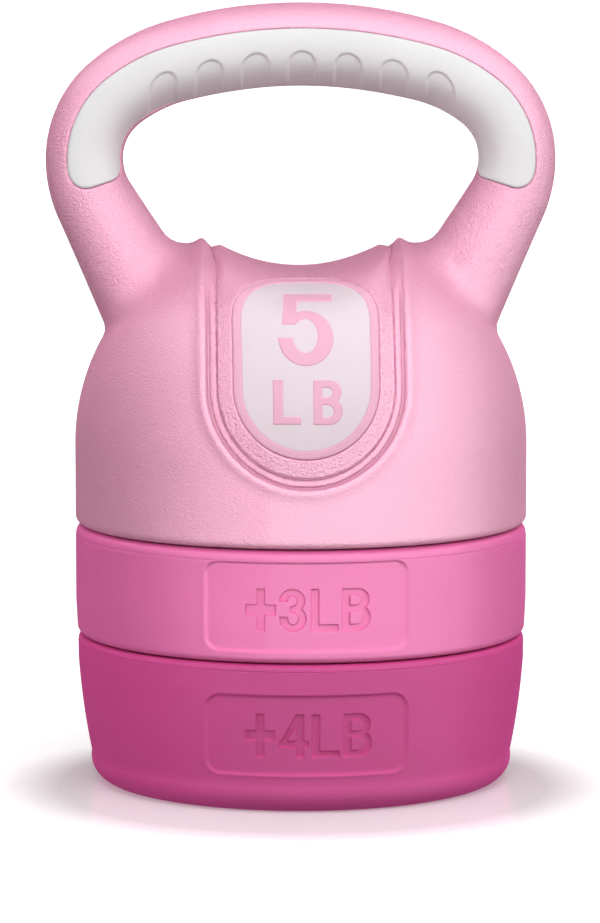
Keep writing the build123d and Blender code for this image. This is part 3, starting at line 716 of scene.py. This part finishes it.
def principled(name, colour, roughness, specular=0.5):
    """A material with its Principled shader and the object's own coordinates."""
    material = bpy.data.materials.new(name)
    material.use_nodes = True
    nodes = material.node_tree.nodes
    shader = nodes["Principled BSDF"]
    shader.inputs["Base Color"].default_value = (*colour, 1)
    shader.inputs["Roughness"].default_value = roughness
    shader.inputs["Specular IOR Level"].default_value = specular
    place = nodes.new("ShaderNodeTexCoord")
    return material, shader, place.outputs["Object"]


def noise(material, place, scale, detail=2.0):
    """A noise pattern. Its scale is in cycles to the metre."""
    node = material.node_tree.nodes.new("ShaderNodeTexNoise")
    node.inputs["Scale"].default_value = scale
    node.inputs["Detail"].default_value = detail
    material.node_tree.links.new(place, node.inputs["Vector"])
    return node.outputs["Fac"]


def ramp(material, value, stops):
    """A pattern turned into colours or greys, through stops of (place, colour)."""
    node = material.node_tree.nodes.new("ShaderNodeValToRGB")
    points = node.color_ramp.elements
    points[0].position, points[1].position = stops[0][0], stops[-1][0]
    points[0].color = (*stops[0][1], 1)
    points[1].color = (*stops[-1][1], 1)
    for position, colour in stops[1:-1]:
        points.new(position).color = (*colour, 1)
    material.node_tree.links.new(value, node.inputs["Fac"])
    return node.outputs["Color"]


def bump(material, shader, layers):
    """Stacked bumps: (pattern, strength, depth in metres)."""
    links = material.node_tree.links
    before = None
    for pattern, strength, depth in layers:
        node = material.node_tree.nodes.new("ShaderNodeBump")
        node.inputs["Strength"].default_value = strength
        node.inputs["Distance"].default_value = depth
        links.new(pattern, node.inputs["Height"])
        if before:
            links.new(before, node.inputs["Normal"])
        before = node.outputs["Normal"]
    links.new(before, shader.inputs["Normal"])


def moulded(name, colour, roughness, grain_depth, grain_scale=900.0, specular=0.5, textured=False):
    """Moulded plastic with a leathery grain, slight cloudiness and uneven gloss.

    When textured, it shows the grain as strongly as the mesh's grain attribute says.
    """
    material, shader, place = principled(name, colour, roughness, specular)
    links = material.node_tree.links
    cloud = noise(material, place, CLOUD_SCALE, 3.0)
    darker = tuple(0.95 * c for c in colour)
    lighter = tuple(min(1.0, 1.04 * c) for c in colour)
    links.new(ramp(material, cloud, ((0.3, darker), (0.7, lighter))), shader.inputs["Base Color"])
    grain = noise(material, place, grain_scale)
    smoother, rougher = (roughness - GLOSS_SPREAD,) * 3, (roughness + GLOSS_SPREAD,) * 3
    uneven = ramp(material, grain, ((0.35, smoother), (0.65, rougher)))
    links.new(uneven, shader.inputs["Roughness"])
    coarse = noise(material, place, grain_scale / 2, 1.0)
    bump(material, shader, ((coarse, 0.5, grain_depth / 3), (grain, 0.8, grain_depth)))
    if textured:
        strength = material.node_tree.nodes.new("ShaderNodeAttribute")
        strength.attribute_name = "grain"
        for node in material.node_tree.nodes:
            if node.type == "BUMP":
                links.new(strength.outputs["Fac"], node.inputs["Strength"])
    return material


BODY_PINK = (0.43, 0.134, 0.236)
MID_PINK = (0.65, 0.098, 0.315)
BASE_PINK = (0.61, 0.065, 0.27)
BADGE_PINK = (0.80, 0.40, 0.54)
BADGE_WHITE = (0.74, 0.62, 0.675)
PAD_WHITE = (0.57, 0.56, 0.565)
# Colour, roughness, the grain's depth in metres, its scale in cycles to the metre, and specular level.
body_plastic = moulded("body_plastic", BODY_PINK, 0.55, 0.0003, 1500.0, 1.0, True)
mid_plastic = moulded("mid_plastic", MID_PINK, 0.5, 0.00008, 900.0, 0.38)
base_plastic = moulded("base_plastic", BASE_PINK, 0.5, 0.00008, 900.0, 0.07)
pad_rubber = moulded("pad_rubber", PAD_WHITE, 0.55, 0.00002, 1500.0, 0.4)
badge_pink = moulded("badge_pink", BADGE_PINK, 0.4, 0.000008, 400.0, 0.15)
badge_white = moulded("badge_white", BADGE_WHITE, 0.4, 0.000008, 200.0, 0.15)
# The soft rings are coloured near black: this is painted shade for the dark line in the gaps between the
# plates, not the rubber's own colour.
ring_rubber = moulded("ring_rubber", (0.03, 0.006, 0.015), 0.6, 0.00003)
cement = moulded("cement", (0.35, 0.33, 0.31), 0.9, 0.0004, 300.0)
steel, steel_shader, steel_place = principled("steel", (0.6, 0.6, 0.6), 0.3)
steel_shader.inputs["Metallic"].default_value = 1.0
bump(steel, steel_shader, ((noise(steel, steel_place, 2000.0), 0.2, 0.00002),))

# ---- Pieces of the handled body ----
groove = dome_groove(*points.T)
over_saddle = soft_step(points[:, 2], SADDLE_FROM, SADDLE_FULL)
groove_height = np.interp(groove, GROOVE_LINES, GROOVE_HEIGHTS) * (1 - over_saddle)
groove_height += np.interp(groove, GROOVE_LINES, SADDLE_HEIGHTS) * over_saddle
badge = dome_badge(*points.T)
pad = grip_pad(*points.T)
pocket = BADGE_POCKET * soft_step(badge, 0.17, 0.0)
# The moulding dips a little where it meets the badge and the pads.
badge_dip = 0.12 * np.exp(-((np.maximum(badge, 0) / 0.35) ** 2))
pad_dip = 0.25 * np.exp(-((np.maximum(pad, 0) / 0.4) ** 2))
pad_bed = PAD_POCKET * soft_step(pad, 0.17, 0.0)
height = groove_height - pocket - badge_dip - pad_dip - pad_bed
shell = points + normals * height[:, None]

FOOT_ROUNDING = 2.6
LEDGE_RADIUS = 66.0  # of the ledge inside the foot, over the cap
LEDGE_TOP = CAP_TOP + 4.0
HOLLOW_RISE = 46.0  # the hollow is a plain dome, lower than the saddle


def rounded_foot(radius, turns):
    """A foot's edge, rounded inwards and down to height 0, as (radius, height) at each turn."""
    return [(radius - FOOT_ROUNDING * (1 - cos(a)), FOOT_ROUNDING * (1 - sin(a))) for a in turns]


# The underside of the body and its hollow, as rings of (radius, height) from the foot inwards.
foot_turns = (0, *np.linspace(0.2, pi / 2, 7))
hollow_turns = np.radians((0, 20, 40, 55, 70, 80))
under_body = (
    [(radius, BODY_LOW + height) for radius, height in rounded_foot(PLATE_RADIUS, foot_turns)]
    + [(CAP_RADIUS + 0.35, BODY_LOW), (CAP_RADIUS + 0.1, BODY_LOW + 0.25), (CAP_RADIUS + 0.1, CAP_TOP)]
    + [(LEDGE_RADIUS, CAP_TOP), (LEDGE_RADIUS, LEDGE_TOP), (PLATE_RADIUS - WALL, LEDGE_TOP)]
    + [((PLATE_RADIUS - WALL) * cos(a), DOME_SPRING + HOLLOW_RISE * sin(a)) for a in hollow_turns]
    + [(0, DOME_SPRING + HOLLOW_RISE)]
)
shell, shell_faces = lathe_on(shell, faces, foot_level, under_body, False)

# The grain is stronger round the badge and on the horns, and weaker in the saddle.
PLAIN_GRAIN = 0.75
below_crown = CROWN - points[:, 2]
band = soft_step(badge, 0.2, 0.6) * soft_step(groove, 30.0, 29.0) * (1 - over_saddle)
horn = soft_step(below_crown, 110, 90) * soft_step(below_crown, 30, 60)
saddle = over_saddle * soft_step(groove, 40, 30)
grain = PLAIN_GRAIN + 1.5 * band + 0.9 * horn - 0.5 * saddle
grain = np.concatenate([grain, np.full(len(shell) - len(points), PLAIN_GRAIN)])
make("body_skin", "handled_body", body_plastic, shell, shell_faces, "body_shell", grain)

FILL_LOW = low("body_fill")[2]
FILL_TOP = HANDLE_FLOOR - 6.0
FILL_DEPTH = 3.4  # below the body's surface
FILL_REACH = 75.0


def fill_field(x, y, z):
    """Signed distance to the cement cast in the top of the body."""
    return np.maximum(body_field(x, y, z) + FILL_DEPTH, np.maximum(FILL_LOW - z, z - FILL_TOP))


grid_low = (-FILL_REACH, -FILL_REACH, FILL_LOW - 6)
grid_high = (FILL_REACH, FILL_REACH, HANDLE_FLOOR)
fill, fill_faces = net(fill_field, grid_low, grid_high, GRID_STEP)
fill = settle(fill_field, fill, 4)
fill = relax(fill, fill_faces, lambda p: settle(fill_field, p, 2), 2)
make("cement_plug", "handled_body", cement, fill, fill_faces, "body_fill")

FIT_GAP = 0.15  # between a piece and the wall of its pocket
digits = dome_digits(*points.T)
dimple = grip_dimple(*points.T)
along, round_bar = pad_place(*points.T)
dimple_depth = DIMPLE_DEPTH * soft_step(dimple, 0.36, -0.8) * soft_step(round_bar, *DIMPLE_FADE)
pad_top = 0.05 - 0.45 * soft_step(pad, -1.0, -0.14) ** 2 - dimple_depth
rim_top = -0.1 - 0.25 * soft_step(badge, -0.5, -0.14) - 0.2 * soft_step(badge, 0.3 - BADGE_RIM, -BADGE_RIM)
plate_top = np.full(len(points), -0.42)
digit_top = -0.15 - 0.2 * soft_step(digits, -0.3, 0.0)


def pad_edge(x, y, z):
    """Signed distance to a pad's own edge."""
    return grip_pad(x, y, z) + FIT_GAP


def rim_edge(x, y, z):
    """Signed distance to the edges of the badge's rim."""
    distance = dome_badge(x, y, z)
    return np.maximum(distance + FIT_GAP, -distance - BADGE_RIM)


def plate_edge(x, y, z):
    """Signed distance to the edge of the badge's plate."""
    return dome_badge(x, y, z) + BADGE_RIM


def set_in(outline, side, top, bottom):
    """A piece set into the body, as a mesh: the faces within an outline on one side of it, made thick."""
    middle = points[faces].mean(1)
    chosen = faces[(outline(*middle.T) < 0) & (middle[:, 1] * side > 0)]
    used, numbered = np.unique(chosen, return_inverse=True)
    return slab(points[used], numbered.reshape(-1, 3), normals[used], top[used], bottom)


# Each piece: its name, the end of its CAD node's name, its outline, its top and bottom, slot and material.
SET_IN = (
    ("pad", "grip_pad", pad_edge, pad_top, -1.35, "grip_rubber", pad_rubber),
    ("rim", "badge_rim", rim_edge, rim_top, -1.4, "badge_pink", badge_pink),
    ("plate", "badge_plate", plate_edge, plate_top, -1.4, "badge_white", badge_white),
    ("digits", "badge_digits", dome_digits, digit_top, -0.5, "badge_pink", badge_pink),
)
for face, side in (("front", -1), ("rear", 1)):
    for name, node, outline, top, bottom, slot, material in SET_IN:
        piece, piece_faces = set_in(outline, side, top, bottom)
        make(f"{face}_{name}", "handled_body", material, piece, piece_faces, f"{face}_{node}")

# ---- Plates ----
LETTER_DEPTH = 1.2
LETTER_STROKES = (2.8, 2.3)  # widths of an upright stroke and of a level one
PANEL_DEPTH = 0.8
PANEL_HALF_WIDTH = 34.5
ROW_STEP = 2.0
COLUMNS = 240


def arc_through(a, b, c):
    """Centre and radius of the circle through three points."""
    matrix = 2 * np.array([np.subtract(b, a), np.subtract(c, a)])
    right = np.array([np.dot(b, b) - np.dot(a, a), np.dot(c, c) - np.dot(a, a)])
    centre = np.linalg.solve(matrix, right)
    return centre, np.hypot(*(np.array(a) - centre))


# The base plate's outline as (radius, height): a foot and a side, each an arc through three points.
BASE_FOOT = (BASE_RADIUS - 10.7, 0.0)
FOOT_MIDDLE = (BASE_RADIUS - 6.3, 2.8)
BASE_KNEE = (BASE_RADIUS - 4.6, 10.0)
SIDE_MIDDLE = (BASE_RADIUS - 1.7, 27.0)
BASE_SHOULDER = (BASE_RADIUS, 44.0)
side_centre, side_radius = arc_through(BASE_KNEE, SIDE_MIDDLE, BASE_SHOULDER)
foot_centre, foot_radius = arc_through(BASE_FOOT, FOOT_MIDDLE, BASE_KNEE)


def base_radius(z):
    """The base plate's radius on its tapered side and its straight top."""
    taper = side_centre[0] + np.sqrt(np.maximum(side_radius**2 - (z - side_centre[1]) ** 2, 1))
    return np.where(z > BASE_SHOULDER[1], BASE_RADIUS, taper)


DRAFT = 0.6
DRAFT_RISE = 12.0


def mid_radius(z):
    """The middle plate's radius, with a little draft near its foot."""
    return PLATE_RADIUS - DRAFT * np.clip((MID_LOW + DRAFT_RISE - z) / DRAFT_RISE, 0, 1)


def panel_outline(middle, half_height, corner):
    """The outline of a recessed panel on the front, in the plane of the front view."""

    def outline(x, y, z):
        return rounded_box(x, z - middle, PANEL_HALF_WIDTH, half_height, corner) + FAR * (y > 0)

    return outline


def text_outline(text, bottom, height, starts, widths):
    """The outline of a row of engraved characters on the front, each from its own left edge."""

    def outline(x, y, z):
        nearest = np.full(np.shape(x), FAR)
        for character, start, width in zip(text, starts, widths):
            figure = letter(character, x - start, z - bottom, width, height, *LETTER_STROKES)
            nearest = np.minimum(nearest, figure)
        return nearest + FAR * (y > 0)

    return outline


def plate_side(radius, low_z, high_z, panel, text, rim_wobble):
    """The side of a plate with its panel and characters, as a displaced mesh from low_z to high_z."""

    def field(x, y, z):
        return np.hypot(x, y) - radius(z)

    rows = np.linspace(low_z, high_z, int((high_z - low_z) / ROW_STEP) + 1)
    columns = np.linspace(0, 2 * pi, COLUMNS, endpoint=False)
    turn, level = np.meshgrid(columns, rows)
    spot = np.stack([np.cos(turn).ravel(), np.sin(turn).ravel(), level.ravel()], 1)

    def project(points):
        points = points.copy()
        points[:, :2] *= (radius(points[:, 2]) / np.hypot(points[:, 0], points[:, 1]))[:, None]
        return points

    number = np.arange(len(spot)).reshape(turn.shape)
    a, b = number[:-1], np.roll(number, -1, 1)[:-1]
    c, d = np.roll(number, -1, 1)[1:], number[1:]
    faces = np.vstack([np.stack([p.ravel() for p in tri], 1) for tri in ((a, b, c), (a, c, d))])
    points = project(spot)

    def fineness(x, y, z):
        size = np.full(np.shape(x), 2.4)
        size = np.where(np.abs(panel(x, y, z)) < 1.5, 1.1, size)
        size = np.where(z > high_z - 2.2, 0.9, size)
        return np.where(text(x, y, z) < 1.2, 0.6, size)

    points, faces = refine(points, faces, fineness, project)
    points, faces = cut(points, faces, panel, (0.9, 0.5, 0.15, -0.2, -0.6), field, 0.12)
    points, faces = cut(points, faces, text, (0.3, 0.1, -0.15), field, 0.07)
    points, faces = cut(points, faces, lambda x, y, z: z - high_z, (-1.2, -0.7, -0.35), field, 0.08)
    points[points[:, 2] < low_z + 1e-3, 2] = low_z
    points[points[:, 2] > high_z - 1e-3, 2] = high_z
    below = high_z - points[:, 2]
    turn = np.arctan2(points[:, 1], points[:, 0])
    step_in = PANEL_DEPTH * soft_step(panel(*points.T), 0.55, -0.6)
    ridge = 0.12 * np.exp(-(((panel(*points.T) - 0.55) / 0.35) ** 2))
    engraved = LETTER_DEPTH * soft_step(text(*points.T), 0.12, -0.2)
    height = ridge - step_in - engraved + rim_wobble(turn, below)
    size = np.hypot(points[:, 0], points[:, 1])
    points[:, :2] *= ((size + height) / size)[:, None]
    return points, faces


def wave(turn, seed, counts):
    """A smooth, uneven ripple round the axis, between about -1 and 1."""
    dice = np.random.default_rng(seed)
    total = np.zeros_like(turn)
    for count in counts:
        total += np.sin(count * turn + dice.uniform(0, 2 * pi)) * dice.uniform(0.4, 1.0)
    return total / (0.7 * len(counts)) ** 0.5 / 1.4


def base_rim(turn, below):
    """Weld flash squeezed out along the base plate's lid: uneven, with a thin line under it."""
    swell = 0.5 + 0.5 * wave(turn, 4, (7, 13, 22, 37, 53, 71, 90))
    lump = np.exp(-(((below - 0.55 - 0.25 * wave(turn, 9, (5, 11, 29, 47))) / 0.3) ** 2))
    return 0.02 + 0.16 * swell * lump - 0.3 * soft_step(below, 0.3, 0.0)


def mid_rim(turn, below):
    """The middle plate's lid line: a fine, slightly uneven groove."""
    return -(0.28 + 0.06 * wave(turn, 3, (6, 17, 31, 52))) * soft_step(below, 0.5, 0.0)


BASE_SIDE_LOW = 10.0
base_panel = panel_outline(27.6, 13.9, 5.2)
base_text = text_outline("+4LB", 19.8, 15.3, (-21.3, -9.6, 1.7, 12.6), (10.2, 10.2, 9.7, 9.9))
side, side_faces = plate_side(base_radius, BASE_SIDE_LOW, BASE_RIM, base_panel, base_text, base_rim)
foot_start = np.arctan2(BASE_SIDE_LOW - foot_centre[1], BASE_KNEE[0] - foot_centre[0])
foot_end = np.arctan2(-foot_centre[1], BASE_FOOT[0] - foot_centre[0])
foot_arc = [
    (foot_centre[0] + foot_radius * cos(a), foot_centre[1] + foot_radius * sin(a))
    for a in np.linspace(foot_start, foot_end, 12)[1:-1]
]
base_under = foot_arc + [(BASE_FOOT[0] - 0.3, 0.0), (BASE_FOOT[0] - 12, 0.0), (30.0, 0.0), (0, 0.0)]
base_inside = [(BASE_RADIUS - WALL, BASE_RIM), (BASE_RADIUS - WALL, 40.0), (BASE_RADIUS - 6.5, 15.0)]
base_inside += [(BASE_RADIUS - 12, 4.5), (BASE_RADIUS - 16, WALL), (30.0, WALL), (0, WALL)]
side, side_faces = lathe_on(side, side_faces, BASE_SIDE_LOW, base_under, False)
side, side_faces = lathe_on(side, side_faces, BASE_RIM, base_inside, True)
make("base_cup", "base_plate", base_plastic, side, side_faces, "base_plate_cup")

MID_SIDE_LOW = MID_LOW + FOOT_ROUNDING
SEAT_OUTER = 69.3  # the seat of the soft ring, in the plate's underside
SEAT_INNER = 60.7
SEAT_DEPTH = 1.1
SOCKET_RADIUS = 36.4
SOCKET_DEPTH = 13.6
SOCKET_WALL = 2.6
mid_panel = panel_outline(72.2, 15.2, 4.6)
mid_text = text_outline("+3LB", 63.9, 14.5, (-21.2, -9.5, 1.3, 12.0), (10.4, 9.2, 9.5, 9.9))
side, side_faces = plate_side(mid_radius, MID_SIDE_LOW, MID_RIM, mid_panel, mid_text, mid_rim)
mid_under = rounded_foot(float(mid_radius(MID_SIDE_LOW)), np.linspace(0.15, pi / 2, 8))
mid_under += [(SEAT_OUTER, 0), (SEAT_OUTER, SEAT_DEPTH), (SEAT_INNER, SEAT_DEPTH), (SEAT_INNER, 0)]
mid_under += [(SOCKET_RADIUS, 0), (SOCKET_RADIUS, SOCKET_DEPTH), (0, SOCKET_DEPTH)]
mid_under = [(radius, MID_LOW + height) for radius, height in mid_under]
hub_radius, hub_top = SOCKET_RADIUS + SOCKET_WALL, MID_LOW + SOCKET_DEPTH + SOCKET_WALL
mid_floor = MID_LOW + WALL
mid_inside = [(PLATE_RADIUS - WALL, MID_RIM), (PLATE_RADIUS - WALL, MID_LOW + 4.5)]
mid_inside += [(PLATE_RADIUS - 4.5, mid_floor), (hub_radius, mid_floor), (hub_radius, hub_top), (0, hub_top)]
side, side_faces = lathe_on(side, side_faces, MID_SIDE_LOW, mid_under, False)
side, side_faces = lathe_on(side, side_faces, MID_RIM, mid_inside, True)
make("mid_cup", "mid_plate", mid_plastic, side, side_faces, "mid_plate_cup")

# ---- CAD nodes that stay ----
KEPT = {
    "base_plate_lid": base_plastic,
    "mid_plate_lid": mid_plastic,
    "body_cap": body_plastic,
    "cap_screws": steel,
    # the soft rings carry the near-black painted shade of the gaps
    "lower_soft_ring": ring_rubber,
    "upper_soft_ring": ring_rubber,
    "base_plate_fill": cement,
    "mid_plate_fill": cement,
}
for node, material in KEPT.items():
    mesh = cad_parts[node].data
    mesh.materials.clear()
    mesh.materials.append(material)

# ---- Camera, floor and light ----
CAMERA_AWAY = EYE_AWAY * MM
CAMERA_HEIGHT = EYE_HEIGHT * MM
CAMERA_TURN = radians(1.55)
CAMERA_TILT_DEG = 6.66
CAMERA_AIM = radians(0.0114)  # a touch to the left, so that the axis falls right of the middle
CAMERA_LENS = 176.9
camera_data = bpy.data.cameras.new("camera")
camera_data.lens = CAMERA_LENS
camera_data.sensor_width = 36.0
camera = bpy.data.objects.new("camera", camera_data)
camera.location = (-CAMERA_AWAY * sin(CAMERA_TURN), -CAMERA_AWAY * cos(CAMERA_TURN), CAMERA_HEIGHT)
camera.rotation_euler = (radians(90 - CAMERA_TILT_DEG), 0, CAMERA_AIM - CAMERA_TURN)
SCENE.collection.objects.link(camera)
SCENE.camera = camera
SCENE.view_settings.view_transform = "Standard"


def backdrop(name, corners, panels, material):
    """A mesh of the studio, in metres, that isn't part of the object."""
    mesh = bpy.data.meshes.new(name)
    mesh.from_pydata(corners, [], panels)
    mesh.materials.append(material)
    thing = bpy.data.objects.new(name, mesh)
    SCENE.collection.objects.link(thing)
    return thing


# White paper that runs back and sweeps up into a wall.
PAPER_FRONT = -4.0
PAPER_BACK = 3.0
PAPER_HALF = 6.0
PAPER_TOP = 5.0
PAPER_SWEEP = 1.5
# The paper gives off light of its own, less and less towards the foot: (1 - distance in metres, light).
GLOW = ((0.3, 1.0), (0.8, 0.8), (0.89, 0.62), (0.914, 0.17))
section = [(PAPER_FRONT, 0.0), (PAPER_BACK, 0.0)]
section += [
    (PAPER_BACK + PAPER_SWEEP * sin(a), PAPER_SWEEP * (1 - cos(a))) for a in np.linspace(0.1, pi / 2, 12)
]
section += [(PAPER_BACK + PAPER_SWEEP, PAPER_TOP)]
paper_corners = [(half, y, z) for y, z in section for half in (-PAPER_HALF, PAPER_HALF)]
paper_panels = [(2 * i, 2 * i + 1, 2 * i + 3, 2 * i + 2) for i in range(len(section) - 1)]
floor_paper, floor_shader, floor_place = principled("floor_paper", (0.85, 0.85, 0.85), 0.2)
reach = floor_paper.node_tree.nodes.new("ShaderNodeTexGradient")
reach.gradient_type = "SPHERICAL"
floor_paper.node_tree.links.new(floor_place, reach.inputs["Vector"])
glow = ramp(floor_paper, reach.outputs["Fac"], [(place, (level,) * 3) for place, level in GLOW])
floor_paper.node_tree.links.new(glow, floor_shader.inputs["Emission Color"])
floor_shader.inputs["Emission Strength"].default_value = 1.0
floor = backdrop("floor", paper_corners, paper_panels, floor_paper)
floor.data.shade_smooth()
floor.visible_glossy = False
floor.visible_diffuse = False
floor.visible_shadow = False
floor.location.y = -0.02  # the glow is centred a little in front of the foot

LAMP_TARGET = (0.0, 0.0, 0.12)


def lamp(name, place, width, height, power, glossy):
    """A rectangular soft box aimed at the object. glossy says whether it shows in the gloss."""
    data = bpy.data.lights.new(name, "AREA")
    data.shape = "RECTANGLE"
    data.size, data.size_y = width, height
    data.energy = power
    light = bpy.data.objects.new(name, data)
    light.location = place
    away = np.array(place) - np.array(LAMP_TARGET)
    turn = np.arctan2(away[0], -away[1])
    tilt = np.arctan2(np.hypot(away[0], away[1]), away[2])
    light.rotation_euler = (tilt, 0, turn)
    light.visible_glossy = glossy
    SCENE.collection.objects.link(light)


lamp("key", (0.2, -0.95, 1.25), 1.3, 1.1, 11, False)
lamp("left_fill", (-1.5, -0.5, 0.45), 1.0, 1.0, 7.5, False)
lamp("right_fill", (1.5, -0.5, 0.45), 1.0, 1.0, 6.5, False)
lamp("top", (0.1, 0.1, 1.6), 1.6, 1.2, 2, True)

# A white tent that only the gloss sees: the studio in front, the paper below and the roof above.
TENT_RADIUS = 2.6
TENT_LIGHT = 7.3
ROOF_RISE = radians(35)
ROOF_TURNS = radians(-140), radians(125)  # the roof reaches further round than the walls
WALL_TURNS = radians(-65), radians(85)
tent_turns = np.radians(np.arange(-180, 181, 15))  # from straight ahead, anticlockwise from above
tent_rises = np.radians((-42, -30, -18, -6, 6, 18, 36, 50, 62, 74, 86))
tent_corners = [
    (TENT_RADIUS * cos(r) * sin(t), -TENT_RADIUS * cos(r) * cos(t), TENT_RADIUS * sin(r))
    for r in tent_rises
    for t in tent_turns
]
around = len(tent_turns)
tent_panels = []
for i, rise in enumerate(tent_rises[:-1]):
    start, end = ROOF_TURNS if rise > ROOF_RISE else WALL_TURNS
    for j, turn in enumerate(tent_turns[:-1]):
        if start < turn < end:
            first = i * around + j
            tent_panels.append((first, first + 1, first + around + 1, first + around))
tent_cloth, tent_shader, _ = principled("tent_cloth", (0.0, 0.0, 0.0), 1.0, 0.0)
tent_shader.inputs["Emission Color"].default_value = (1, 1, 1, 1)
tent_shader.inputs["Emission Strength"].default_value = TENT_LIGHT
tent = backdrop("tent", tent_corners, tent_panels, tent_cloth)
tent.visible_camera = False
tent.visible_diffuse = False
tent.visible_shadow = False

world = bpy.data.worlds.new("world")
world.use_nodes = True
background = world.node_tree.nodes["Background"]
background.inputs["Color"].default_value = (1, 1, 1, 1)
background.inputs["Strength"].default_value = 0.38
world.cycles_visibility.glossy = False
SCENE.world = world
